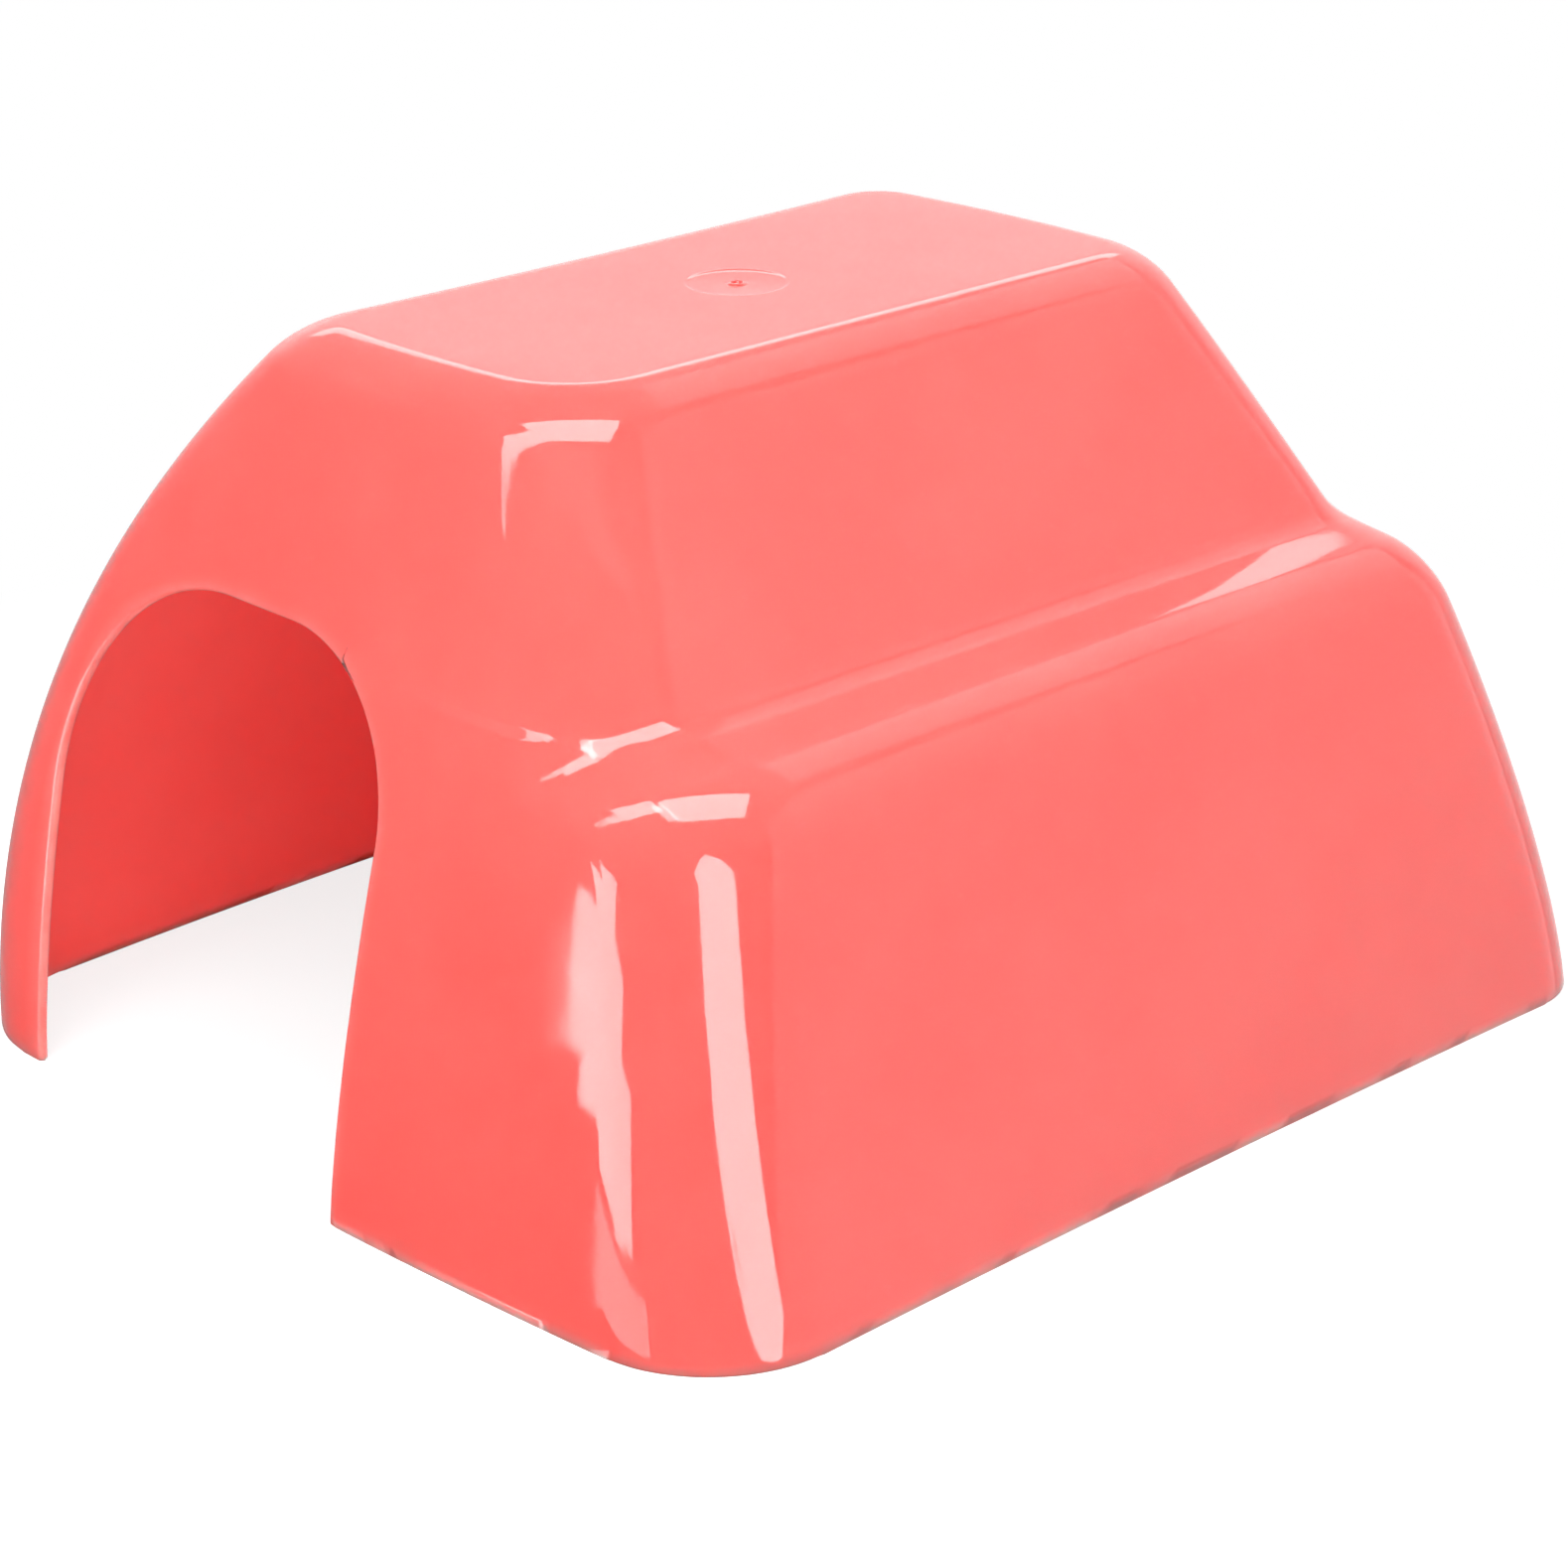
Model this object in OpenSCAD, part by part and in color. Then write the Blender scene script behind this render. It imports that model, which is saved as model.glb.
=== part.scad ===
// Guinea pig house moulded in one piece: a leaning, stepped shell with an arched doorway, open underneath.
// The doorway faces -Y, the stepped side faces +X, and the rim stands on Z = 0 around the origin.

/* [Overall] */
// Width of the foot between the left and right walls' corners
base_w = 210; // [190:1:240]
// Length of the foot between the front and back walls' corners
base_l = 230; // [210:1:260]
// Height of the roof above the floor
height = 141; // [132:1:160]
// Thickness of the moulded wall
wall = 2; // [1.6:0.1:3]

/* [Leaning walls] */
// How far the roof's front edge stands in from the front wall's foot
front_in = 30; // [20:1:45]
// How far the roof's back edge stands in from the back wall's foot
back_in = 55; // [30:1:65]
// How far the roof's left edge stands in from the left wall's foot
left_in = 70; // [50:1:78]
// Upward curve of the front and back walls, where 1 is straight
end_curve = 1.45; // [1:0.05:2]
// Upward curve of the left wall, where 1 is straight
left_curve = 2.3; // [1.6:0.05:2.8]
// Outward bow of the front and back walls along the foot
end_bow = 4.5; // [0:0.5:8]
// Outward bow of the front and back walls along the roof
end_roof_bow = 2; // [0:0.5:4]
// Outward bow of the left wall along the foot
left_bow = 4.5; // [0:0.5:8]
// Hollow of the right wall along the foot
right_hollow = 1.5; // [0:0.5:3]
// Hollow of the roof's left edge
left_roof_hollow = 1.3; // [0:0.1:2]

/* [Step] */
// Height of the ledge's outer edge on the right wall
ledge_z = 89.5; // [70:0.5:95]
// How far the ledge's outer edge stands in from the right wall's foot
ledge_in = 16.5; // [10:0.5:22]
// Width of the ledge
ledge_w = 21; // [14:0.5:26]
// Rise of the ledge across its width
ledge_rise = 3.5; // [2:0.5:6]
// How far the ledge dips where it runs out round the corners
ledge_dip = 12; // [0:0.5:16]
// How far the right wall leans in from the ledge to the roof
upper_in = 26; // [18:0.5:32]
// Upward curve of the right wall below the ledge, where 1 is straight
lower_curve = 1.1; // [1:0.05:1.4]
// Rounding of the ledge's outer edge
ledge_edge_r = 14; // [6:0.5:16]
// Rounding at the root of the ledge
ledge_root_r = 7.5; // [3:0.5:10]

/* [Rounding] */
// Front right corner at the foot
front_right_r = 24; // [14:1:32]
// Front right corner at the roof
front_right_roof_r = 20; // [12:1:24]
// Back right corner at the foot
back_right_r = 17; // [12:1:28]
// Back right corner at the roof
back_right_roof_r = 15; // [12:1:20]
// Back left corner at the foot
back_left_r = 25; // [14:1:32]
// Back left corner at the roof
back_left_roof_r = 12; // [11:1:18]
// Front left corner at the foot
front_left_r = 25; // [14:1:30]
// Front left corner at the roof
front_left_roof_r = 14; // [11:1:18]
// Edge all round the roof
roof_r = 7; // [4:0.5:9]

/* [Doorway] */
// Width of the doorway at half its height
door_w = 90; // [75:1:100]
// Height of the doorway
door_h = 96; // [85:1:104]
// Distance from the left wall's foot to the doorway
door_side = 31.5; // [30:0.5:45]
// Rounding of the doorway's upper left shoulder
door_left_r = 43.5; // [30:0.5:46]
// Rounding of the doorway's upper right shoulder
door_right_r = 29.5; // [20:0.5:34]
// How far the right jamb leans in towards the floor
door_lean = 2.5; // [0:0.5:5]

/* [Gate mark] */
// Width of the shallow dish on the roof, where the plastic was injected
gate_d = 18; // [10:1:24]
// Depth of the dish
gate_depth = 0.4; // [0.2:0.1:0.8]
// Width of the nub left in the dish
gate_nub_d = 3; // [2:0.5:5]

/* [Hidden] */
shell_colour = [1.0, 0.46, 0.43];
corner_steps = 12;
side_steps = 8;
lower_steps = 9;
// How fast the ledge's dip fades round the corner
dip_fade = 1.5;
// How much closer the lower wall's levels come together towards the ledge, where 1 is even
lower_crowding = 1.7;
edge_steps = 7;
root_steps = 6;
upper_steps = 5;
roof_steps = 6;
arc_facets = 96;
// Room that a cut takes past the face it opens
cut_past = 2;
// Sides in the order front, right, back, left
sides = [0, 1, 2, 3];
// Corners in the order front right, back right, back left, front left
foot_radii = [front_right_r, back_right_r, back_left_r, front_left_r];
roof_radii = [front_right_roof_r, back_right_roof_r, back_left_roof_r, front_left_roof_r];
foot_right = (base_w + left_bow) / 2;
foot_left = foot_right - base_w;
foot_front = -base_l / 2;
foot_back = base_l / 2;
right_in = ledge_in + ledge_w + upper_in;
roof_centre_x = (foot_left + left_in + foot_right - right_in) / 2;
roof_centre_y = (foot_front + front_in + foot_back - back_in) / 2;
door_x0 = foot_left + door_side;
door_x1 = door_x0 + door_w;
ring_points = 4 * (corner_steps + side_steps);

function unit(v) = v / norm(v);

// Points of the arc that rounds corner p between a and b
function rounded(a, p, b, r, steps) =
    let (
        u = unit(a - p),
        v = unit(b - p),
        half = acos(u * v) / 2,
        centre = p + unit(u + v) * r / sin(half),
        from = p + u * r / tan(half) - centre,
        to = p + v * r / tan(half) - centre,
        turn = 180 - 2 * half
    )
    [for (i = [0 : steps])
        centre + (from * sin(turn * (1 - i / steps)) + to * sin(turn * i / steps)) / sin(turn)];

// The right wall's profile as points of [distance in from the foot, height]
ledge_edge = [ledge_in, ledge_z];
ledge_root = [ledge_in + ledge_w, ledge_z + ledge_rise];
below_edge = ledge_edge - [lower_curve * ledge_in / ledge_z, 1];
edge_arc = rounded(below_edge, ledge_edge, ledge_root, ledge_edge_r, edge_steps);
root_arc = rounded(ledge_edge, ledge_root, [right_in, height], ledge_root_r, root_steps);
lower_top = edge_arc[0][1];
upper_foot = root_arc[root_steps][1];
lower_wall = [for (i = [0 : lower_steps - 1])
    let (z = lower_top * (1 - pow(1 - i / lower_steps, lower_crowding)))
    [ledge_in * pow(z / ledge_z, lower_curve), z]];
right_profile = concat(lower_wall, edge_arc, root_arc, [[right_in, height]]);
right_table = [for (p = right_profile) [p[1], p[0]]];

// Heights at which the outside is drawn, closest together on the step and the roof's edge
roof_foot = height - roof_r;
levels = concat(
    [for (p = concat(lower_wall, edge_arc, root_arc)) p[1]],
    [for (i = [1 : upper_steps]) upper_foot + (roof_foot - upper_foot) * i / upper_steps],
    [for (i = [1 : roof_steps]) roof_foot + roof_r * sin(90 * i / roof_steps)]);

// Distance of a side's outer face in from its foot, before the roof's edge is rounded
function lean(side, z) =
    side == 0 ? front_in * pow(z / height, end_curve)
    : side == 1 ? lookup(z, right_table)
    : side == 2 ? back_in * pow(z / height, end_curve)
    : left_in * pow(z / height, left_curve);
function roof_inset(z) =
    z <= roof_foot ? 0 : roof_r - sqrt(max(0, pow(roof_r, 2) - pow(z - roof_foot, 2)));
function outer_in(side, z) = lean(side, z) + roof_inset(z);

// The inner face of a side, one wall thickness inside the outer face, as points of [height, distance in]
function inner_table(side) =
    let (
        outer = [for (z = levels) [outer_in(side, z), z]],
        last = len(outer) - 1
    )
    [for (i = [0 : last])
        let (along = i == last ? [1, 0] : unit(outer[i + 1] - outer[max(i - 1, 0)]))
        [outer[i][1] - wall * along[0], outer[i][0] + wall * along[1]]];
inner_tables = [for (side = sides) inner_table(side)];
inner_levels = concat([0], [for (p = inner_tables[1]) if (p[0] > 0) p[0]]);

// Height on the right wall's profile that a point of its corners takes, so that the ledge dips as it runs out.
// turn goes from 0 at the front or back wall to 1 at the right wall.
function dipped(z, turn) =
    let (u = z < ledge_z ? z / ledge_z : (height - z) / (height - ledge_z))
    z + ledge_dip * pow(u, 2) * (3 - 2 * u) * pow(1 - sin(90 * turn), dip_fade);

// Pushes a point of a ring out or in, so that the ring's sides are bowed
function bowed(p, z, x0, x1, y0, y1) =
    let (
        u = z / height,
        across = (2 * p[0] - x0 - x1) / (x1 - x0),
        along = (2 * p[1] - y0 - y1) / (y1 - y0),
        end_push = end_bow * (1 - u) + end_roof_bow * u,
        left_push = left_bow * (1 - u) - left_roof_hollow * u,
        right_push = -right_hollow * (1 - u)
    )
    [
        p[0] + (1 - pow(along, 2)) * (right_push * (1 + across) - left_push * (1 - across)) / 2,
        p[1] + (1 - pow(across, 2)) * end_push * along,
        z
    ];

// One level of the shell, anticlockwise from the front right corner, with each side moved in from its foot.
// right is the right wall's profile as points of [height, distance in].
function ring(z, moved_in, right) =
    let (
        x0 = foot_left + moved_in[3],
        x1 = foot_right - moved_in[1],
        y0 = foot_front + moved_in[0],
        y1 = foot_back - moved_in[2],
        u = z / height,
        inset = moved_in[0] - lean(0, z),
        r = [for (k = sides) max(foot_radii[k] * (1 - u) + roof_radii[k] * u - inset, wall)],
        centres = [
            [x1 - r[0], y0 + r[0]],
            [x1 - r[1], y1 - r[1]],
            [x0 + r[2], y1 - r[2]],
            [x0 + r[3], y0 + r[3]]
        ],
        corners = [for (k = sides)
            [for (i = [0 : corner_steps])
                let (
                    share = i / corner_steps,
                    angle = 90 * (k - 1 + share),
                    turn = k == 0 ? share : k == 1 ? 1 - share : 1,
                    dip_in = lookup(dipped(z, turn), right) - lookup(z, right)
                )
                centres[k] + r[k] * [cos(angle), sin(angle)] - [dip_in, 0]]],
        flat = [for (k = sides)
            each concat(
                corners[k],
                [for (i = [1 : side_steps - 1])
                    let (share = i / side_steps)
                    corners[k][corner_steps] * (1 - share) + corners[(k + 1) % 4][0] * share])]
    )
    [for (p = flat) bowed(p, z, x0, x1, y0, y1)];

// Faces of a wall of rings that starts at point number first, seen from the side that is out
function wall_faces(first, count, out) =
    [for (j = [0 : count - 2], i = [0 : ring_points - 1])
        let (
            a = first + j * ring_points + i,
            b = first + j * ring_points + (i + 1) % ring_points,
            c = a + ring_points,
            d = b + ring_points
        )
        each out ? [[a, c, d], [a, d, b]] : [[a, d, c], [a, b, d]]];

// Skin of the whole house, outside and inside, joined at the rim on the floor
module skin() {
    outer = [for (z = levels) ring(z, [for (side = sides) outer_in(side, z)], right_table)];
    inner = [for (z = inner_levels)
        ring(z, [for (side = sides) lookup(z, inner_tables[side])], inner_tables[1])];
    inner_first = len(outer) * ring_points;
    outer_top = inner_first - ring_points;
    inner_top = inner_first + (len(inner) - 1) * ring_points;
    roof_point = inner_top + ring_points;
    ceiling_point = roof_point + 1;
    points = concat(
        [for (level = outer) each level],
        [for (level = inner) each level],
        [[roof_centre_x, roof_centre_y, height], [roof_centre_x, roof_centre_y, height - wall]]);
    caps = [for (i = [0 : ring_points - 1])
        let (next = (i + 1) % ring_points)
        each [
            [roof_point, outer_top + next, outer_top + i],
            [ceiling_point, inner_top + i, inner_top + next],
            [i, next, inner_first + next],
            [i, inner_first + next, inner_first + i]
        ]];
    polyhedron(
        points,
        concat(
            wall_faces(0, len(outer), true),
            wall_faces(inner_first, len(inner), false),
            caps),
        convexity = 6);
}

// Outline of the doorway seen from the front
module door_outline() {
    translate([door_x0 + door_left_r, door_h - door_left_r])
        circle(door_left_r, $fn = arc_facets);
    translate([door_x1 - door_right_r, door_h - door_right_r])
        circle(door_right_r, $fn = arc_facets);
    polygon([
        [door_x0, -cut_past],
        [door_x1 - door_lean, -cut_past],
        [door_x1 - door_lean, 0],
        [door_x1, door_h - door_right_r],
        [door_x1 - door_right_r, door_h],
        [door_x0 + door_left_r, door_h],
        [door_x0, door_h - door_left_r]
    ]);
}

// Cut through the front wall, square to the front
module doorway() {
    depth = lean(0, door_h) + wall + cut_past;
    translate([0, foot_front + depth, 0])
        rotate([90, 0, 0])
            linear_extrude(depth + end_bow + cut_past)
                door_outline();
}

module gate_dish() {
    ball_r = (pow(gate_d / 2, 2) + pow(gate_depth, 2)) / (2 * gate_depth);
    translate([roof_centre_x, roof_centre_y, height + ball_r - gate_depth])
        sphere(ball_r, $fn = arc_facets);
}

module gate_nub() {
    translate([roof_centre_x, roof_centre_y, height - wall / 2])
        cylinder(d = gate_nub_d, h = wall / 2, $fn = arc_facets);
}

module house_shell() {
    color(shell_colour)
        union() {
            difference() {
                skin();
                doorway();
                gate_dish();
            }
            gate_nub();
        }
}

house_shell();
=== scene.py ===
import math

import bmesh
import bpy
import numpy as np
from mathutils import Matrix, Vector


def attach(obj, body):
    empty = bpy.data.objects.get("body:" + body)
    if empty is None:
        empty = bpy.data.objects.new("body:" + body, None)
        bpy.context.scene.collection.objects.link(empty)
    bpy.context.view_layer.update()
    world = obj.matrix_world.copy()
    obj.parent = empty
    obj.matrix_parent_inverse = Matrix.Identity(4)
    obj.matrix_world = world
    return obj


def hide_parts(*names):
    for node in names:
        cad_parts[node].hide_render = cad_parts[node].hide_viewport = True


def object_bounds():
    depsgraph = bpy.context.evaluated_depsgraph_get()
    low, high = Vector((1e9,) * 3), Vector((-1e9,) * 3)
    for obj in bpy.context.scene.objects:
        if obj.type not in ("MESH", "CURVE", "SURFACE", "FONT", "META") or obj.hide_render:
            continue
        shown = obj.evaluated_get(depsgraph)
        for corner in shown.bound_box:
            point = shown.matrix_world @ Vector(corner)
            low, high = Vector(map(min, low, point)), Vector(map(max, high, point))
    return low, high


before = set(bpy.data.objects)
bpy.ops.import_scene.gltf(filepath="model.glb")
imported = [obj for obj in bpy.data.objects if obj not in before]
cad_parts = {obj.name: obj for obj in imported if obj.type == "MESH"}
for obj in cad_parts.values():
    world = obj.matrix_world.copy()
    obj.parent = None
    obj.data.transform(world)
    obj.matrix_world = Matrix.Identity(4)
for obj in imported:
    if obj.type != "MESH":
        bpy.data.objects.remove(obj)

cad_low, cad_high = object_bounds()
MM = 0.001

# Sizes of the house in millimetres, the same as in the part's source
BASE_W = 210.0
BASE_L = 230.0
HEIGHT = 141.0
WALL = 2.0
FRONT_IN = 30.0
BACK_IN = 55.0
LEFT_IN = 70.0
END_CURVE = 1.45
LEFT_CURVE = 2.3
END_BOW = 4.5
END_ROOF_BOW = 2.0
LEFT_BOW = 4.5
RIGHT_HOLLOW = 1.5
LEFT_ROOF_HOLLOW = 1.3
LEDGE_Z = 89.5
LEDGE_IN = 16.5
LEDGE_W = 21.0
LEDGE_RISE = 3.5
LEDGE_DIP = 12.0
DIP_FADE = 1.5
UPPER_IN = 26.0
LOWER_CURVE = 1.1
LEDGE_EDGE_R = 14.0
LEDGE_ROOT_R = 7.5
# Corners in the order front right, back right, back left, front left
FOOT_RADII = (24.0, 17.0, 25.0, 25.0)
ROOF_RADII = (20.0, 15.0, 12.0, 14.0)
ROOF_R = 7.0
DOOR_W = 90.0
DOOR_H = 96.0
DOOR_SIDE = 31.5
DOOR_LEFT_R = 43.5
DOOR_RIGHT_R = 29.5
DOOR_LEAN = 2.5
GATE_D = 18.0
GATE_DEPTH = 0.4
GATE_STEP = 0.16
GATE_NUB_D = 3.0
# Rounding of the doorway's edges, which takes up nearly the whole wall, and of the rim on the floor
LIP_R = 0.95
RIM_R = 0.4

FOOT_RIGHT = (BASE_W + LEFT_BOW) / 2
FOOT_LEFT = FOOT_RIGHT - BASE_W
FOOT_FRONT = -BASE_L / 2
FOOT_BACK = BASE_L / 2
RIGHT_IN = LEDGE_IN + LEDGE_W + UPPER_IN
ROOF_FOOT = HEIGHT - ROOF_R
ROOF_X = (FOOT_LEFT + LEFT_IN + FOOT_RIGHT - RIGHT_IN) / 2
ROOF_Y = (FOOT_FRONT + FRONT_IN + FOOT_BACK - BACK_IN) / 2
DOOR_X0 = FOOT_LEFT + DOOR_SIDE
DOOR_X1 = DOOR_X0 + DOOR_W

# Counts that set how finely the skins are drawn
CORNER_STEPS = 26
SIDE_STEPS = 44
LOWER_STEPS = 38
EDGE_STEPS = 16
LEDGE_STEPS = 4
ROOT_STEPS = 12
UPPER_STEPS = 20
ROOF_STEPS = 14
PATCH_STEPS = 13
CAP_STEPS = 12
LIP_STEPS = 6
RIM_STEPS = 3
# Share of the front wall's columns that cover the doorway's patch, and share of the wall that they cover
KNEE = 0.82
KNEE_X = 0.7
# The doorway's patch: its first and last place round the house, and its height over the arch
PATCH_FROM = 3.3
PATCH_TO = 3.9
PATCH_OVER = 10.0
# Angles on the arch, in degrees, at which the patch's sides give way to its top
ARCH_LEFT_SPLIT = 128
ARCH_RIGHT_SPLIT = 52
ARCH_POINTS = 200
# Rounds of correction that settle a point's place on the front wall
PLACE_ROUNDS = 6
# Distance in millimetres that stands for nowhere near the doorway
FAR_OFF = 1e3


def unit(v):
    return v / np.linalg.norm(v)


def rounded(a, p, b, r, steps):
    """Points of the arc that rounds corner p between a and b."""
    u, v = unit(a - p), unit(b - p)
    half = math.acos(float(u @ v)) / 2
    centre = p + unit(u + v) * r / math.sin(half)
    start = p + u * r / math.tan(half) - centre
    end = p + v * r / math.tan(half) - centre
    turn = math.pi - 2 * half
    share = np.linspace(0, 1, steps + 1)[:, None]
    return centre + (start * np.sin(turn * (1 - share)) + end * np.sin(turn * share)) / math.sin(turn)


# The right wall's profile as points of distance in from the foot and height
ledge_edge = np.array([LEDGE_IN, LEDGE_Z])
ledge_root = np.array([LEDGE_IN + LEDGE_W, LEDGE_Z + LEDGE_RISE])
roof_edge = np.array([RIGHT_IN, HEIGHT])
below_edge = ledge_edge - np.array([LOWER_CURVE * LEDGE_IN / LEDGE_Z, 1.0])
edge_arc = rounded(below_edge, ledge_edge, ledge_root, LEDGE_EDGE_R, EDGE_STEPS)
root_arc = rounded(ledge_edge, ledge_root, roof_edge, LEDGE_ROOT_R, ROOT_STEPS)
lower_z = np.linspace(0, edge_arc[0][1], LOWER_STEPS + 1)[:-1]
lower_wall = np.stack([LEDGE_IN * (lower_z / LEDGE_Z) ** LOWER_CURVE, lower_z], 1)
ledge_share = np.linspace(0, 1, LEDGE_STEPS + 1)[1:-1, None]
ledge_top = edge_arc[-1] * (1 - ledge_share) + root_arc[0] * ledge_share
right_profile = np.vstack([lower_wall, edge_arc, ledge_top, root_arc, roof_edge])

upper_z = np.linspace(root_arc[-1][1], ROOF_FOOT, UPPER_STEPS + 1)[1:]
roof_z = ROOF_FOOT + ROOF_R * np.sin(np.linspace(0, math.pi / 2, ROOF_STEPS + 1)[1:])
outer_levels = np.concatenate([right_profile[:-1, 1], upper_z, roof_z])


def lean(side, z):
    """Distance of a side's outer face in from its foot, before the roof's edge is rounded."""
    u = np.clip(z / HEIGHT, 0, 1)
    if side == 0:
        return FRONT_IN * u ** END_CURVE
    if side == 1:
        return np.interp(z, right_profile[:, 1], right_profile[:, 0])
    if side == 2:
        return BACK_IN * u ** END_CURVE
    return LEFT_IN * u ** LEFT_CURVE


def roof_inset(z):
    up = np.clip(z - ROOF_FOOT, 0, ROOF_R)
    return ROOF_R - np.sqrt(ROOF_R ** 2 - up ** 2)


def outer_in(z):
    return [lean(side, z) + roof_inset(z) for side in range(4)]


def inner_table(side):
    """The inner face of a side, one wall thickness inside the outer face, as heights and distances in."""
    outer = np.stack([outer_in(outer_levels)[side], outer_levels], 1)
    along = np.zeros_like(outer)
    along[1:-1] = outer[2:] - outer[:-2]
    along[0] = outer[1] - outer[0]
    along[-1] = (1, 0)
    along /= np.linalg.norm(along, axis=1)[:, None]
    return outer[:, 1] - WALL * along[:, 0], outer[:, 0] + WALL * along[:, 1]


inner_tables = [inner_table(side) for side in range(4)]
inner_levels = np.maximum(inner_tables[1][0], 0)


def inner_in(z):
    return [np.interp(z, *inner_tables[side]) for side in range(4)]


def ring_frame(z, moved_in):
    """Edges of the ring at each height and the radii of its four corners."""
    x0, x1 = FOOT_LEFT + moved_in[3], FOOT_RIGHT - moved_in[1]
    y0, y1 = FOOT_FRONT + moved_in[0], FOOT_BACK - moved_in[2]
    u = z / HEIGHT
    inset = moved_in[0] - lean(0, z)
    radii = [np.maximum(FOOT_RADII[k] * (1 - u) + ROOF_RADII[k] * u - inset, WALL) for k in range(4)]
    return x0, x1, y0, y1, radii


def dip_in(z, turn, moving):
    """How much further in the right wall's corners stand, so that the ledge dips as it runs out round them.

    turn goes from 0 at the front or back wall to 1 at the right wall.
    """
    u = np.where(z < LEDGE_Z, z / LEDGE_Z, (HEIGHT - z) / (HEIGHT - LEDGE_Z))
    dipped = z + LEDGE_DIP * u ** 2 * (3 - 2 * u) * (1 - np.sin(np.pi / 2 * turn)) ** DIP_FADE
    if moving is outer_in:
        return lean(1, dipped) - lean(1, z)
    return moving(dipped)[1] - moving(z)[1]


def skin_points(c, z, moving):
    """Points of a skin.

    c goes round from 0 to 4, half of each step on a corner and half on the side after it.
    """
    c, z = np.broadcast_arrays(np.asarray(c, float), np.asarray(z, float))
    x0, x1, y0, y1, radii = ring_frame(z, moving(z))
    centre_x = [x1 - radii[0], x1 - radii[1], x0 + radii[2], x0 + radii[3]]
    centre_y = [y0 + radii[0], y1 - radii[1], y1 - radii[2], y0 + radii[3]]
    k = np.floor(c).astype(int) % 4
    part = c - np.floor(c)
    after = (k + 1) % 4
    round_corner = np.minimum(part * 2, 1)
    angle = np.pi / 2 * (k - 1 + round_corner)
    turn = np.choose(k, [round_corner, 1 - round_corner, 1, 1])
    x = np.choose(k, centre_x) + np.choose(k, radii) * np.cos(angle) - dip_in(z, turn, moving)
    y = np.choose(k, centre_y) + np.choose(k, radii) * np.sin(angle)
    share = np.clip(part * 2 - 1, 0, 1)
    flat_x = np.choose(after, centre_x) + np.choose(after, radii) * np.cos(angle)
    next_x = flat_x - dip_in(z, np.where(after == 0, 0, 1), moving)
    next_y = np.choose(after, centre_y) + np.choose(after, radii) * np.sin(angle)
    # On the front wall the dip only pulls the columns to the right of the doorway's patch
    knee_x = x + (flat_x - x) * KNEE_X
    to_knee = x + (knee_x - x) * share / KNEE
    past_knee = knee_x + (next_x - knee_x) * (share - KNEE) / (1 - KNEE)
    front_x = np.where(share < KNEE, to_knee, past_knee)
    x = np.where(k == 3, np.where(share > 0, front_x, x), x + (next_x - x) * share)
    y = y + (next_y - y) * share
    u = z / HEIGHT
    across = (2 * x - x0 - x1) / (x1 - x0)
    along = (2 * y - y0 - y1) / (y1 - y0)
    end_push = END_BOW * (1 - u) + END_ROOF_BOW * u
    left_push = LEFT_BOW * (1 - u) - LEFT_ROOF_HOLLOW * u
    right_push = -RIGHT_HOLLOW * (1 - u)
    bowed_x = x + (1 - along ** 2) * (right_push * (1 + across) - left_push * (1 - across)) / 2
    bowed_y = y + (1 - across ** 2) * end_push * along
    return np.stack([bowed_x, bowed_y, z], -1)


def front_place(x, z, moving):
    """The place round a skin of points on the straight part of the front wall, by their x and height."""
    x0, x1, y0, y1, radii = ring_frame(z, moving(z))
    left, right = x0 + radii[3], x1 - radii[0]
    # The side walls' bow moves the front wall's points hardly at all, so a few corrections settle it
    slope = 0.5 * KNEE / KNEE_X / (right - left)
    place = 3.5 + (x - left) * slope
    for _ in range(PLACE_ROUNDS):
        place = place + (x - skin_points(place, z, moving)[..., 0]) * slope
    return place


# Places round the house of the grid's columns
corner_part = np.linspace(0, 0.5, CORNER_STEPS + 1)[:-1]
side_part = np.linspace(0.5, 1, SIDE_STEPS + 1)[:-1]
columns = np.concatenate([k + np.concatenate([corner_part, side_part]) for k in range(4)])
COLUMNS = len(columns)
ROWS = len(outer_levels)
# The patch round the doorway reaches from these columns up to this row
PATCH_LEFT = int(np.searchsorted(columns, PATCH_FROM))
PATCH_RIGHT = int(np.searchsorted(columns, PATCH_TO))
PATCH_TOP = int(np.searchsorted(outer_levels, DOOR_H + PATCH_OVER))


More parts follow.
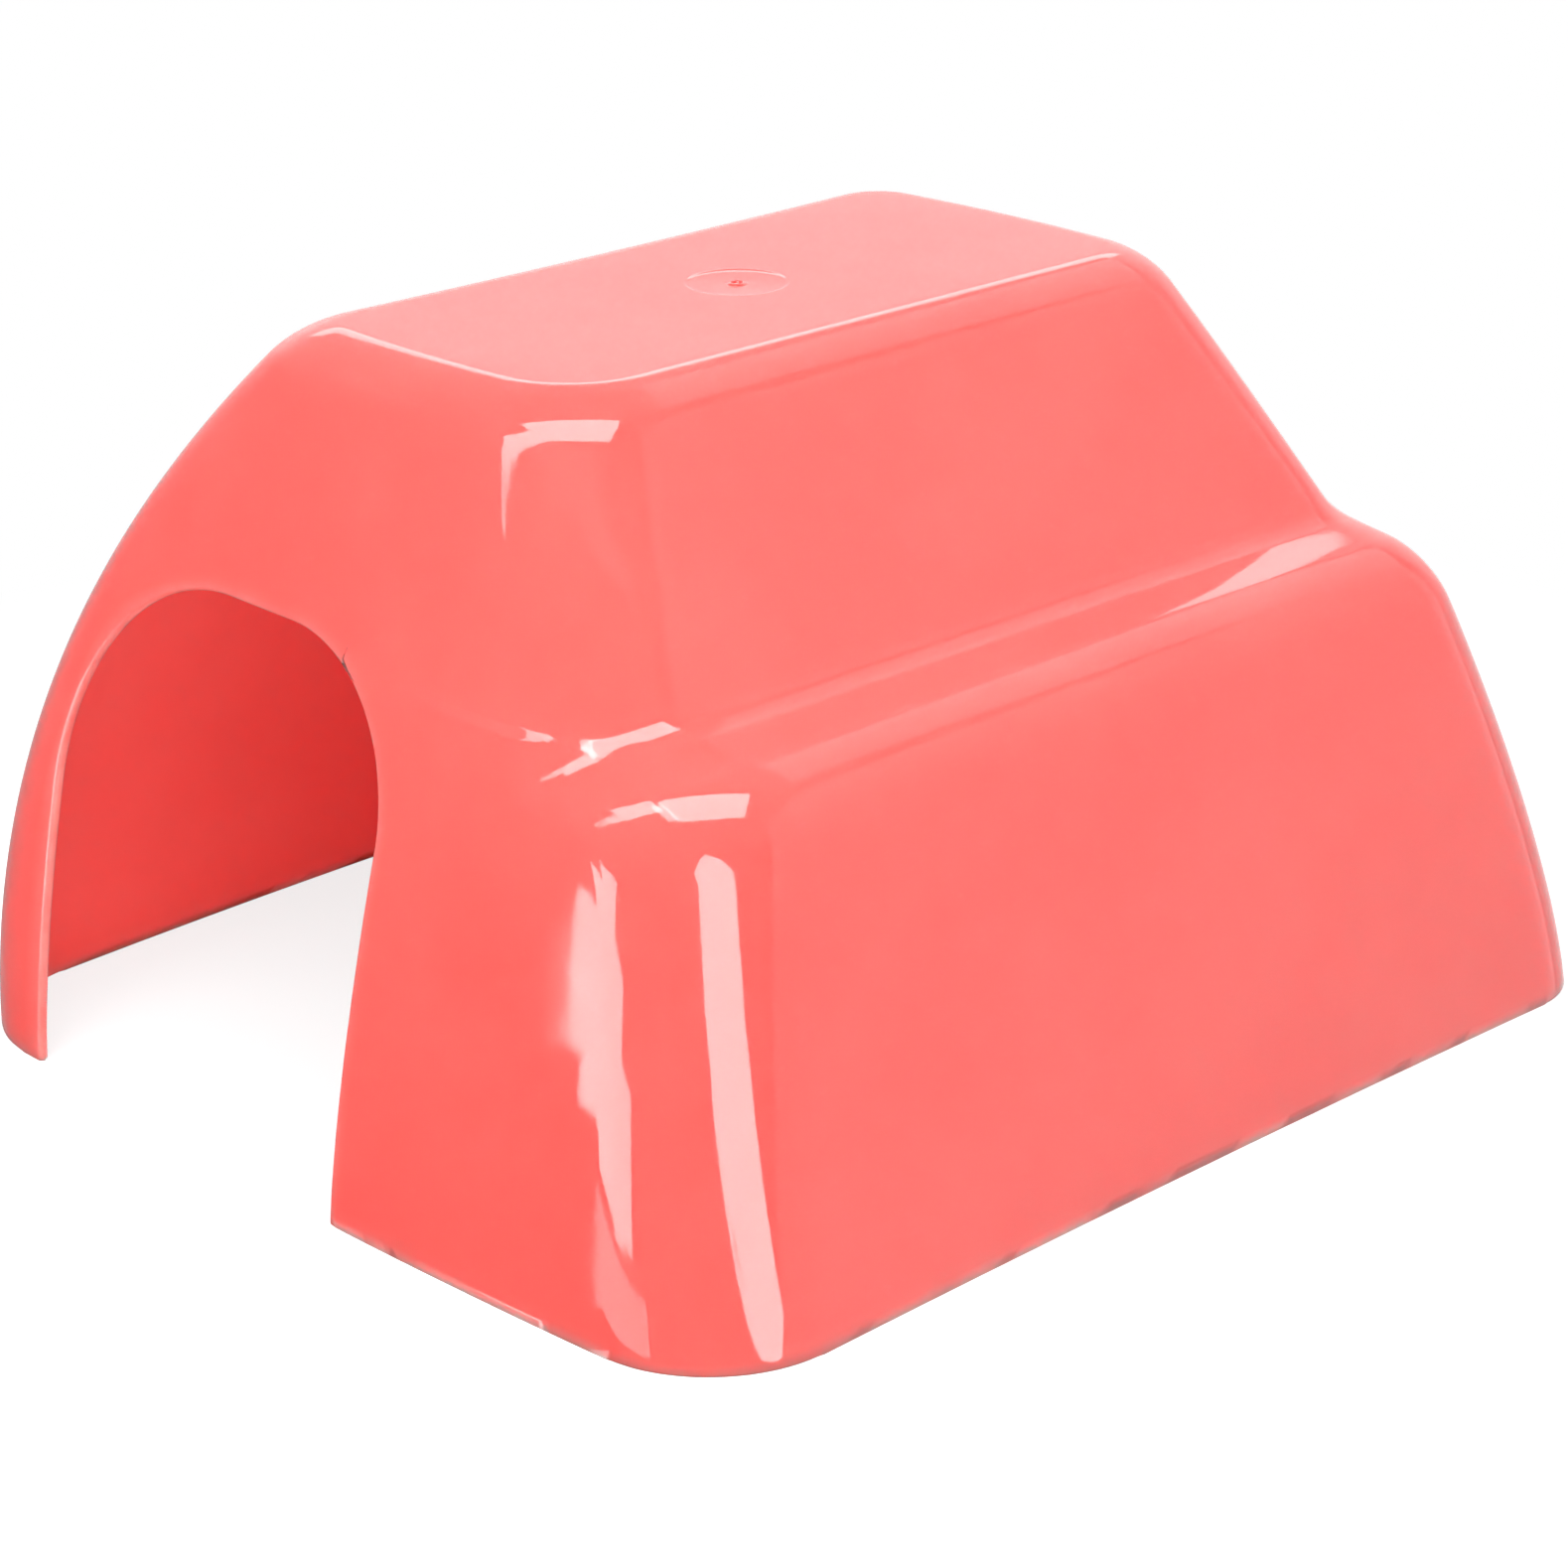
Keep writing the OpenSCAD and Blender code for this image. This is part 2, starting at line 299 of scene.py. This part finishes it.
def door_outline(grown=0.0):
    """The doorway's edge seen from the front, one point of x and height for each point round the patch."""
    left_x, left_z = DOOR_X0 + DOOR_LEFT_R, DOOR_H - DOOR_LEFT_R
    right_x, right_z = DOOR_X1 - DOOR_RIGHT_R, DOOR_H - DOOR_RIGHT_R
    left_r, right_r = DOOR_LEFT_R + grown, DOOR_RIGHT_R + grown
    rows = outer_levels[:PATCH_TOP + 1]
    left_split, right_split = math.radians(ARCH_LEFT_SPLIT), math.radians(ARCH_RIGHT_SPLIT)

    def left_arc(angle):
        return np.stack([left_x + left_r * np.cos(angle), left_z + left_r * np.sin(angle)], 1)

    def right_arc(angle):
        return np.stack([right_x + right_r * np.cos(angle), right_z + right_r * np.sin(angle)], 1)

    low = rows[rows < left_z]
    rest = PATCH_TOP + 1 - len(low)
    up = np.vstack([
        np.stack([np.full(len(low), DOOR_X0 - grown), low], 1),
        left_arc(np.linspace(math.pi, left_split, rest))])
    low = rows[rows < right_z]
    rest = PATCH_TOP + 1 - len(low)
    down = np.vstack([
        np.stack([DOOR_X1 + grown - DOOR_LEAN * (1 - low / right_z), low], 1),
        right_arc(np.linspace(0, right_split, rest))])[::-1]
    fine = np.vstack([
        left_arc(np.linspace(left_split, math.pi / 2, ARCH_POINTS)),
        right_arc(np.linspace(math.pi / 2, right_split, ARCH_POINTS))])
    length = np.concatenate([[0], np.cumsum(np.linalg.norm(np.diff(fine, axis=0), axis=1))])
    steps = np.linspace(0, length[-1], PATCH_RIGHT - PATCH_LEFT + 1)[1:-1]
    over = np.stack([np.interp(steps, length, fine[:, 0]), np.interp(steps, length, fine[:, 1])], 1)
    return np.vstack([up, over, down])


outline = door_outline()
lip_outline = door_outline(LIP_R)


class Skin:
    """One face of the shell: a grid of rings, a patch that runs round the doorway and the roof's cap."""

    def __init__(self, levels, moving, roof_height, first):
        self.points = []
        self.faces = []
        self.first = first
        grid = skin_points(columns[None, :], levels[:, None], moving)
        number = np.full((ROWS, COLUMNS), -1)
        for j in range(ROWS):
            for i in range(COLUMNS):
                if j < PATCH_TOP and PATCH_LEFT < i < PATCH_RIGHT:
                    continue
                number[j, i] = self.add(grid[j, i])
        for j in range(ROWS - 1):
            for i in range(COLUMNS):
                if j < PATCH_TOP and PATCH_LEFT <= i < PATCH_RIGHT:
                    continue
                k = (i + 1) % COLUMNS
                self.faces.append((number[j, i], number[j, k], number[j + 1, k], number[j + 1, i]))
        self.make_patch(levels, moving, number)
        self.make_cap(grid[-1], number[-1], roof_height)
        round_house = [number[0, i % COLUMNS] for i in range(PATCH_RIGHT, PATCH_LEFT + COLUMNS + 1)]
        self.rim = self.right_foot[:-1] + round_house + self.left_foot[::-1][1:]

    def add(self, point):
        self.points.append(point)
        return self.first + len(self.points) - 1

    def make_patch(self, levels, moving, number):
        around = [(j, PATCH_LEFT) for j in range(PATCH_TOP)]
        around += [(PATCH_TOP, i) for i in range(PATCH_LEFT, PATCH_RIGHT + 1)]
        around += [(j, PATCH_RIGHT) for j in range(PATCH_TOP - 1, -1, -1)]
        far_c = np.array([columns[i] for j, i in around])
        far_z = np.array([levels[j] for j, i in around])
        near_z = lip_outline[:, 1]
        near_c = front_place(lip_outline[:, 0], near_z, moving)
        loops = []
        for step in range(PATCH_STEPS):
            share = step / PATCH_STEPS
            c = near_c + (far_c - near_c) * share
            z = near_z + (far_z - near_z) * share
            loops.append([self.add(p) for p in skin_points(c, z, moving)])
        loops.append([number[j, i] for j, i in around])
        for near, far in zip(loops, loops[1:]):
            for s in range(len(near) - 1):
                self.faces.append((near[s], near[s + 1], far[s + 1], far[s]))
        self.door = loops[0]
        self.left_foot = [loop[0] for loop in loops]
        self.right_foot = [loop[-1] for loop in loops]

    def make_cap(self, ring, ring_numbers, roof_height):
        """Closes the roof with loops that turn from the roof's outline into circles round its centre."""
        angle = np.arctan2(ring[:, 1] - ROOF_Y, ring[:, 0] - ROOF_X)
        circle = np.stack([np.cos(angle), np.sin(angle)], 1)
        last = list(ring_numbers)
        radii, heights = roof_height
        for step in range(1, CAP_STEPS + 1):
            share = step / CAP_STEPS
            flat = ring[:, :2] * (1 - share) + (np.array([ROOF_X, ROOF_Y]) + circle * radii[0]) * share
            last = self.loop(last, flat, heights[0])
        for radius, height in zip(radii[1:-1], heights[1:-1]):
            last = self.loop(last, np.array([ROOF_X, ROOF_Y]) + circle * radius, height)
        middle = self.add((ROOF_X, ROOF_Y, heights[-1]))
        for i in range(COLUMNS):
            self.faces.append((last[i], last[(i + 1) % COLUMNS], middle))

    def loop(self, last, flat, height):
        new = [self.add((x, y, height)) for x, y in flat]
        for i in range(COLUMNS):
            k = (i + 1) % COLUMNS
            self.faces.append((last[i], last[k], new[k], new[i]))
        return new


def gate_profile():
    """The gate mark on the roof, a dish with a pitted nub, as radii and heights from the rim inwards."""
    edge = GATE_D / 2
    nub = GATE_NUB_D / 2
    dish_r = np.array([12, 10.6, 9.9, 9.5, 9.25, 9.0, 8.75, 8.4, 7.6, 6.6, 5.4, 4.2, 3.2, 2.5, 2.1])
    below = np.clip((9.4 - dish_r) / 0.9, 0, 1)
    rim_step = GATE_STEP * below * below * (3 - 2 * below)
    dish_z = -rim_step - (GATE_DEPTH - GATE_STEP) * np.clip(1 - (dish_r / edge) ** 2, 0, 1)
    nub_r = np.array([1.85, 1.65, 1.5, 1.3, 1.1, 0.95, 0.8, 0.5, 0])
    nub_z = np.array([-0.3, -0.12, -0.05, -0.02, -0.08, -0.35, -0.7, -0.8, -0.82])
    return np.concatenate([dish_r, nub_r * nub / 1.5]), HEIGHT + np.concatenate([dish_z, nub_z])


ceiling = (np.array([12, 9, 6, 3, 0.0]), np.full(5, HEIGHT - WALL))
outer = Skin(outer_levels, outer_in, gate_profile(), 0)
inner = Skin(inner_levels, inner_in, ceiling, len(outer.points))

points = outer.points + inner.points
faces = list(outer.faces) + [tuple(reversed(f)) for f in inner.faces]


def lip_loops():
    """Loops of points round the doorway, from the outer face through the cut edge to the inner face."""
    loops = []
    for moving, into in ((outer_in, 1), (inner_in, -1)):
        turned = []
        for angle in np.linspace(0, math.pi / 2, LIP_STEPS + 1)[1:]:
            edge = door_outline(LIP_R * (1 - math.sin(angle)))
            place = front_place(edge[:, 0], edge[:, 1], moving)
            loop = skin_points(place, edge[:, 1], moving)
            loop[:, 1] += into * LIP_R * (1 - math.cos(angle))
            turned.append(loop)
        loops += turned if into > 0 else turned[::-1]
    return loops


lip = [outer.door]
for loop in lip_loops():
    lip.append(range(len(points), len(points) + len(loop)))
    points += list(loop)
lip.append(inner.door)
for a, b in zip(lip, lip[1:]):
    for s in range(len(a) - 1):
        faces.append((a[s], b[s], b[s + 1], a[s + 1]))
for s in range(len(outer.rim) - 1):
    faces.append((outer.rim[s], inner.rim[s], inner.rim[s + 1], outer.rim[s + 1]))
left_end = [loop[0] for loop in lip]
right_end = [loop[-1] for loop in lip]
faces += [tuple(left_end[::-1]), tuple(right_end)]


def rim_pairs():
    """Pairs of points on the edges of the rim on the floor, which get a small rounding."""
    pairs = set()
    for chain in (outer.rim, inner.rim, left_end, right_end):
        pairs.update(frozenset(p) for p in zip(chain, chain[1:]))
    return pairs


def outline_distance(p):
    """Distance in millimetres of points from the doorway's edge, seen from the front."""
    best = np.full(len(p), FAR_OFF)
    flat = p[:, [0, 2]]
    for a, b in zip(outline[:-1], outline[1:]):
        span = b - a
        share = np.clip(((flat - a) @ span) / (span @ span), 0, 1)
        best = np.minimum(best, np.linalg.norm(flat - a - share[:, None] * span, axis=1))
    return best


def make_shell():
    mesh = bpy.data.meshes.new("house_shell_mesh")
    bm = bmesh.new()
    verts = [bm.verts.new(np.asarray(p) * MM) for p in points]
    for f in faces:
        bm.faces.new([verts[i] for i in f])
    bm.verts.index_update()
    pairs = rim_pairs()
    rim = [e for e in bm.edges if frozenset(v.index for v in e.verts) in pairs]
    bmesh.ops.bevel(
        bm, geom=rim, offset=RIM_R * MM, segments=RIM_STEPS, profile=0.5, affect="EDGES", loop_slide=False)
    bmesh.ops.recalc_face_normals(bm, faces=bm.faces)
    for f in bm.faces:
        f.smooth = True
    bm.to_mesh(mesh)
    bm.free()
    p = np.zeros(len(mesh.vertices) * 3)
    mesh.vertices.foreach_get("co", p)
    p = np.clip(p.reshape(-1, 3), cad_low, cad_high)
    mesh.vertices.foreach_set("co", p.ravel())
    p = p / MM
    # How near each point is to the doorway's edge and the rim on the floor. These edges get handled and
    # rubbed, and the same mask also paints a highlight there: a paler colour that stands in for light on the
    # rounded edges.
    near_door = np.where(p[:, 1] < FOOT_FRONT + FRONT_IN + 8, outline_distance(p), FAR_OFF)
    edge = np.maximum(np.exp(-near_door / 0.8), 0.6 * np.exp(-p[:, 2] / 0.9))
    attribute = mesh.attributes.new("edge_wear_and_highlight", "FLOAT", "POINT")
    attribute.data.foreach_set("value", edge.astype(np.float32))
    shell = bpy.data.objects.new("moulded_shell", mesh)
    bpy.context.scene.collection.objects.link(shell)
    return shell


WHITE = (1.0, 1.0, 1.0, 1.0)


class Nodes:
    """Short helpers to lay out the node tree of a material or the world."""

    def __init__(self, owner, output="ShaderNodeOutputMaterial"):
        owner.use_nodes = True
        self.tree = owner.node_tree
        self.tree.nodes.clear()
        self.out = self.add(output)

    def add(self, kind, **values):
        node = self.tree.nodes.new(kind)
        for key, value in values.items():
            setattr(node, key, value)
        return node

    def link(self, a, b):
        self.tree.links.new(a, b)

    def put(self, socket, value):
        if isinstance(value, bpy.types.NodeSocket):
            self.link(value, socket)
        else:
            socket.default_value = value

    def math(self, operation, a, b=None, clamp=False):
        node = self.add("ShaderNodeMath", operation=operation, use_clamp=clamp)
        self.put(node.inputs[0], a)
        if b is not None:
            self.put(node.inputs[1], b)
        return node.outputs[0]

    def noise(self, where, scale, detail=2.0, rough=0.5, distortion=0.0):
        node = self.add("ShaderNodeTexNoise")
        self.put(node.inputs["Vector"], where)
        node.inputs["Scale"].default_value = scale
        node.inputs["Detail"].default_value = detail
        node.inputs["Roughness"].default_value = rough
        node.inputs["Distortion"].default_value = distortion
        return node.outputs["Fac"]

    def spread(self, value, low, high, to_low=0.0, to_high=1.0):
        node = self.add("ShaderNodeMapRange", interpolation_type="SMOOTHSTEP")
        self.put(node.inputs["Value"], value)
        node.inputs["From Min"].default_value = low
        node.inputs["From Max"].default_value = high
        node.inputs["To Min"].default_value = to_low
        node.inputs["To Max"].default_value = to_high
        return node.outputs["Result"]

    def mix(self, factor, a, b):
        node = self.add("ShaderNodeMix", data_type="RGBA")
        self.put(node.inputs["Factor"], factor)
        self.put(node.inputs["A"], a)
        self.put(node.inputs["B"], b)
        return node.outputs["Result"]

    def blend(self, factor, a, b):
        """Sends the output a mix of two shaders."""
        node = self.add("ShaderNodeMixShader")
        self.put(node.inputs["Fac"], factor)
        self.link(a.outputs[0], node.inputs[1])
        self.link(b.outputs[0], node.inputs[2])
        self.link(node.outputs["Shader"], self.out.inputs["Surface"])

    def stretched(self, where, scale, turn=(0.0, 0.0, 0.0)):
        node = self.add("ShaderNodeMapping")
        self.put(node.inputs["Vector"], where)
        node.inputs["Scale"].default_value = scale
        node.inputs["Rotation"].default_value = turn
        return node.outputs["Vector"]


def shell_plastic():
    """Glossy, slightly translucent coral plastic. Lengths in it are in metres."""
    material = bpy.data.materials.new("coral_plastic")
    n = Nodes(material)
    where = n.add("ShaderNodeTexCoord").outputs["Object"]
    shader = n.add("ShaderNodeBsdfPrincipled")
    wear_and_highlight = n.add("ShaderNodeAttribute", attribute_name="edge_wear_and_highlight").outputs["Fac"]
    # Colour: coral with slow shifts of pigment, and a paler edge that is partly rubbed wear and partly a
    # painted highlight of light on the doorway's edge and the rim
    clouds = n.noise(where, 22.0, 3.0, 0.5)
    flow = n.noise(n.stretched(where, (55.0, 14.0, 30.0)), 1.0, 2.0, 0.45, 0.6)
    coral = n.mix(n.spread(clouds, 0.35, 0.65), (0.96, 0.077, 0.069, 1.0), (0.98, 0.086, 0.077, 1.0))
    coral = n.mix(n.spread(flow, 0.5, 0.8, 0.0, 0.25), coral, (0.98, 0.098, 0.088, 1.0))
    # This mask marks the edges for rubbed wear and for a painted highlight, and the paler colour mixed in
    # below is that painted highlight as well as wear
    rubbed_and_highlit = n.math("MULTIPLY", wear_and_highlight, n.spread(n.noise(where, 90.0, 3.0, 0.6), 0.3, 0.6, 0.6, 1.0))
    colour = n.mix(n.math("MULTIPLY", rubbed_and_highlit, 0.55), coral, (1.0, 0.34, 0.31, 1.0))
    n.link(colour, shader.inputs["Base Color"])
    # Fine scratches from handling, in two directions
    scratches = []
    for turn, scale in (((0.4, 0.2, 0.5), (900.0, 14.0, 60.0)), ((0.1, 0.9, 1.9), (14.0, 850.0, 50.0))):
        line = n.noise(n.stretched(where, scale, turn), 1.0, 1.0, 0.4)
        scratches.append(n.spread(line, 0.72, 0.80))
    scratch = n.math("MAXIMUM", *scratches)
    patches = n.spread(n.noise(where, 30.0, 2.0), 0.45, 0.65)
    scratch = n.math("MULTIPLY", scratch, patches)
    # Roughness
    base = n.spread(n.noise(where, 60.0, 3.0, 0.55), 0.3, 0.7, 0.035, 0.07)
    rough = n.math("ADD", base, n.math("MULTIPLY", scratch, 0.12))
    rough = n.math("ADD", rough, n.math("MULTIPLY", rubbed_and_highlit, 0.16), clamp=True)
    n.link(rough, shader.inputs["Roughness"])
    shader.inputs["IOR"].default_value = 1.49
    shader.inputs["Subsurface Weight"].default_value = 1.0
    shader.inputs["Subsurface Radius"].default_value = (8.0, 0.3, 0.25)
    shader.inputs["Subsurface Scale"].default_value = 0.001
    # Surface: slow sink and swell of a moulding, a fine orange peel and the scratches
    swell = n.noise(where, 48.0, 1.0, 0.4)
    peel = n.noise(where, 420.0, 2.0, 0.5)
    height = n.math("MULTIPLY", swell, 0.00007)
    height = n.math("ADD", height, n.math("MULTIPLY", peel, 0.0000045))
    height = n.math("SUBTRACT", height, n.math("MULTIPLY", scratch, 0.000003))
    bump = n.add("ShaderNodeBump")
    bump.inputs["Strength"].default_value = 1.0
    bump.inputs["Distance"].default_value = 1.0
    n.link(height, bump.inputs["Height"])
    n.link(bump.outputs["Normal"], shader.inputs["Normal"])
    n.link(shader.outputs["BSDF"], n.out.inputs["Surface"])
    return material


# How far from the middle of the house the floor's glow sets in, and where it is full, in metres
GLOW_FROM = 0.13
GLOW_FULL = 0.3
FLOOR_COLOUR = (0.92, 0.92, 0.92, 1.0)
FLOOR_REACH = 6.0


def floor_white(name, thrown_back, glow_near, mirrored):
    """White card that the camera sees in full and that throws back a share of the light that falls on it.

    Its glow grows from glow_near under the house to white far off. Only the camera sees it in full, and
    reflections see the share of it that mirrored gives.
    """
    material = bpy.data.materials.new(name)
    n = Nodes(material)
    path = n.add("ShaderNodeLightPath")
    straight = n.math("MAXIMUM", path.outputs["Is Camera Ray"], path.outputs["Is Transmission Ray"])
    seen = n.math("MAXIMUM", straight, path.outputs["Is Glossy Ray"])
    card = n.add("ShaderNodeBsdfDiffuse")
    n.link(n.mix(seen, (*[thrown_back] * 3, 1.0), FLOOR_COLOUR), card.inputs["Color"])
    glow = n.add("ShaderNodeEmission")
    glow.inputs["Color"].default_value = WHITE
    glow.inputs["Strength"].default_value = 1.0
    length = n.add("ShaderNodeVectorMath", operation="LENGTH")
    n.link(n.add("ShaderNodeTexCoord").outputs["Object"], length.inputs[0])
    far = n.spread(length.outputs["Value"], GLOW_FROM, GLOW_FULL, glow_near)
    lit = n.math("MAXIMUM", straight, n.math("MULTIPLY", path.outputs["Is Glossy Ray"], mirrored))
    n.blend(n.math("MULTIPLY", far, lit), card, glow)
    return material


def stage_mesh(name, corners, sides, material):
    mesh = bpy.data.meshes.new(name + "_mesh")
    mesh.from_pydata([tuple(p) for p in corners], [], sides)
    mesh.materials.append(material)
    made = bpy.data.objects.new(name, mesh)
    bpy.context.scene.collection.objects.link(made)
    return made


def make_floor():
    """A floor round the house and a sheet of it under the house, which meet under the wall."""
    rim = (skin_points(columns, 0.0, outer_in) + skin_points(columns, 0.0, inner_in)) / 2 * MM
    rim[:, 2] = 0
    far = rim * FLOOR_REACH / np.linalg.norm(rim, axis=1)[:, None]
    ring = [(i, COLUMNS + i, COLUMNS + (i + 1) % COLUMNS, (i + 1) % COLUMNS) for i in range(COLUMNS)]
    white = floor_white("pale_floor", thrown_back=0.2, glow_near=0.0, mirrored=1.0)
    outside = stage_mesh("floor", np.vstack([rim, far]), ring, white)
    # Outside the house, reflections see the white studio and its lamps instead of the floor
    outside.visible_glossy = False
    white = floor_white("pale_floor_inside", thrown_back=0.6, glow_near=0.8, mirrored=0.38)
    inside = stage_mesh("floor_inside", rim, [tuple(range(COLUMNS))], white)
    return outside, inside


# The photograph's camera, from a fit to the house's outline
IMAGE_SIDE = 1579.0
FOCAL_PX = 4190.4
CAMERA_AZ = 46.172
CAMERA_EL = 21.484
CAMERA_ROLL = math.radians(-0.4)
CAMERA_FAR = 0.7613
CAMERA_AIM = Vector((0.0021, 0.0, 0.0706))
AIM_PX = (-6.25, 143.88)
SENSOR = 36.0
# The front right corner at half its height and at the roof, where the lamps' reflections show
CORNER = Vector((0.085, -0.1, 0.06))
ROOF_CORNER = Vector((0.04, -0.085, 0.132))
# The card off the roof's corner: azimuth and distance from there, half its width, and the heights it spans
CARD_AZ = 45
CARD_FAR = 0.15
CARD_HALF = 0.16
CARD_FOOT = 0.152
CARD_HEAD = 0.24
# The world's light on the object, and the darker side that reflections see, with the angles at which it fades
STUDIO_LIGHT = 0.52
DARK_AZ = -75
DARK_EL = -35
DARK_FROM = 57
DARK_FULL = 32
DARK_SHARE = 0.42


def facing(az, el):
    """Unit vector towards an azimuth and an elevation in degrees.

    Azimuth 0 is out of the doorway, and 90 is the stepped side.
    """
    az, el = math.radians(az), math.radians(el)
    return Vector((math.sin(az) * math.cos(el), -math.cos(az) * math.cos(el), math.sin(el)))


def make_camera():
    back = facing(CAMERA_AZ, CAMERA_EL)
    level = facing(CAMERA_AZ + 90, 0)
    upright = back.cross(level)
    right = level * math.cos(CAMERA_ROLL) + upright * math.sin(CAMERA_ROLL)
    up = upright * math.cos(CAMERA_ROLL) - level * math.sin(CAMERA_ROLL)
    place = CAMERA_AIM + back * CAMERA_FAR
    place -= (right * AIM_PX[0] + up * AIM_PX[1]) * CAMERA_FAR / FOCAL_PX
    data = bpy.data.cameras.new("camera")
    data.sensor_width = SENSOR
    data.lens = SENSOR * FOCAL_PX / IMAGE_SIDE
    camera = bpy.data.objects.new("camera", data)
    camera.matrix_world = Matrix.Translation(place) @ Matrix((right, up, back)).transposed().to_4x4()
    bpy.context.scene.collection.objects.link(camera)
    bpy.context.scene.camera = camera


def lamp(name, place, axes, width, height, radiance, mirrored=True):
    """A rectangular lamp that shines along its own -Z, where axes are its width, height and back."""
    data = bpy.data.lights.new(name, "AREA")
    data.shape = "RECTANGLE"
    data.size = width
    data.size_y = height
    data.energy = radiance * math.pi * width * height
    made = bpy.data.objects.new(name, data)
    made.matrix_world = Matrix.Translation(place) @ Matrix(axes).transposed().to_4x4()
    made.visible_glossy = mirrored
    bpy.context.scene.collection.objects.link(made)


def panel(name, start, end, far, width, radiance, mirrored=True):
    """A lamp between two directions from the front right corner, as azimuths and elevations in degrees."""
    one, two = facing(*start), facing(*end)
    middle = (one + two).normalized()
    along = (one - two) * far / one.dot(middle)
    up = along.normalized()
    axes = (up.cross(middle), up, middle)
    lamp(name, CORNER + middle * far, axes, width, along.length, radiance, mirrored)


def ceiling_lamp(name, start, end, up, width, radiance):
    """A lamp that hangs level, between two points given as x and y from the roof's front right corner."""
    one, two = [ROOF_CORNER + Vector((x, y, up)) for x, y in (start, end)]
    along = (one - two).normalized()
    back = Vector((0, 0, 1))
    lamp(name, (one + two) / 2, (along.cross(back), along, back), width, (one - two).length, radiance)


def make_card():
    """White card that hides the long front lamp from the roof's mirror, for views from behind."""
    material = bpy.data.materials.new("white_card")
    n = Nodes(material)
    n.link(n.add("ShaderNodeEmission").outputs["Emission"], n.out.inputs["Surface"])
    middle = ROOF_CORNER + facing(CARD_AZ, 0) * CARD_FAR
    along = facing(CARD_AZ + 90, 0) * CARD_HALF
    one, two = middle - along, middle + along
    corners = [(one.x, one.y, CARD_FOOT), (two.x, two.y, CARD_FOOT)]
    corners += [(two.x, two.y, CARD_HEAD), (one.x, one.y, CARD_HEAD)]
    card = stage_mesh("card", corners, [(0, 1, 2, 3)], material)
    # Only reflections see it
    card.visible_camera = False
    card.visible_diffuse = False
    card.visible_transmission = False
    card.visible_volume_scatter = False
    card.visible_shadow = False
    return card


def make_world():
    """Even light, which the camera sees as a white studio.

    Reflections see a white studio that is darker low on the left.
    """
    world = bpy.data.worlds.new("studio")
    bpy.context.scene.world = world
    n = Nodes(world, "ShaderNodeOutputWorld")
    path = n.add("ShaderNodeLightPath")
    leftwards = n.add("ShaderNodeVectorMath", operation="DOT_PRODUCT")
    n.link(n.add("ShaderNodeTexCoord").outputs["Generated"], leftwards.inputs[0])
    leftwards.inputs[1].default_value = facing(DARK_AZ, DARK_EL)
    fade_from, fade_full = math.cos(math.radians(DARK_FROM)), math.cos(math.radians(DARK_FULL))
    shaded = n.spread(leftwards.outputs["Value"], fade_from, fade_full, 1.0, DARK_SHARE)
    backs = []
    for strength in (STUDIO_LIGHT, n.math("MAXIMUM", path.outputs["Is Camera Ray"], shaded)):
        back = n.add("ShaderNodeBackground")
        back.inputs["Color"].default_value = WHITE
        n.put(back.inputs["Strength"], strength)
        backs.append(back)
    n.blend(n.math("MAXIMUM", path.outputs["Is Camera Ray"], path.outputs["Is Glossy Ray"]), *backs)


make_camera()
bpy.context.scene.view_settings.view_transform = "Standard"
make_world()
make_floor()
make_card()

shell = make_shell()
shell.data.materials.append(shell_plastic())
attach(shell, "root")
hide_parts("house_shell")

# Lamps whose reflections make the hook under the roof and the streaks on the step and the ledge
ceiling_lamp("top_lamp", (0.324, 0.012), (-0.006, -0.441), 0.5, 0.33, 10.0)
ceiling_lamp("top_bend_lamp", (0.0236, -0.1952), (-0.0042, -0.2336), 0.2, 0.1, 9.5)
ceiling_lamp("top_front_lamp", (-0.0019, -0.1051), (-0.0729, -0.2029), 0.09, 0.045, 9.5)
ceiling_lamp("top_front_tip", (-0.0693, -0.2056), (-0.117, -0.2711), 0.09, 0.025, 8.0)
ceiling_lamp("top_far_tip", (-0.1184, -0.27), (-0.2, -0.382), 0.09, 0.016, 6.0)
# The left strip's lamp in level slices, as elevation, first and last azimuth, and width
for part, el, az_from, az_to, width in (
        ("peak", 4.6, -31.5, -22, 0.063), ("top", 0.4, -35.8, -21.5, 0.084),
        ("main", -4, -39.3, -21.5, 0.07), ("lower", -7.3, -39.2, -21.5, 0.05),
        ("slant", -9.9, -37.8, -21.5, 0.043), ("bottom", -12.1, -33.5, -21.5, 0.035),
        ("mid", -6.5, -21.5, -14, 0.262), ("side", -8, -14, -6.5, 0.175)):
    panel("left_" + part + "_panel", (az_from, el), (az_to, el), 1.0, width, 8.5)
panel("left_low_panel", (-36, -18), (4, -18), 1.0, 0.14, 3.4)
# The right strip's lamp and the broad, weak lamps round the house
panel("front_panel", (35.5, 20), (95.5, -18.5), 1.0, 0.26, 10.5)
panel("front_soft_panel", (5, 36), (70, 36), 1.0, 0.32, 0.5)
panel("back_panel", (-152.5, 26), (-106, 26), 1.2, 0.2, 2.2)
panel("back_low_panel", (-178, 14), (-100, 14), 1.2, 0.5, 0.2)
panel("back_right_panel", (168, 41), (208, 41), 1.2, 0.45, 0.9)
panel("right_panel", (97, 7), (168, 7), 1.2, 1.7, 0.72)
# Light for the hidden walls, which glow through to the inside
panel("back_left_fill", (-165, 12), (-115, 12), 1.2, 0.8, 6.3, mirrored=False)
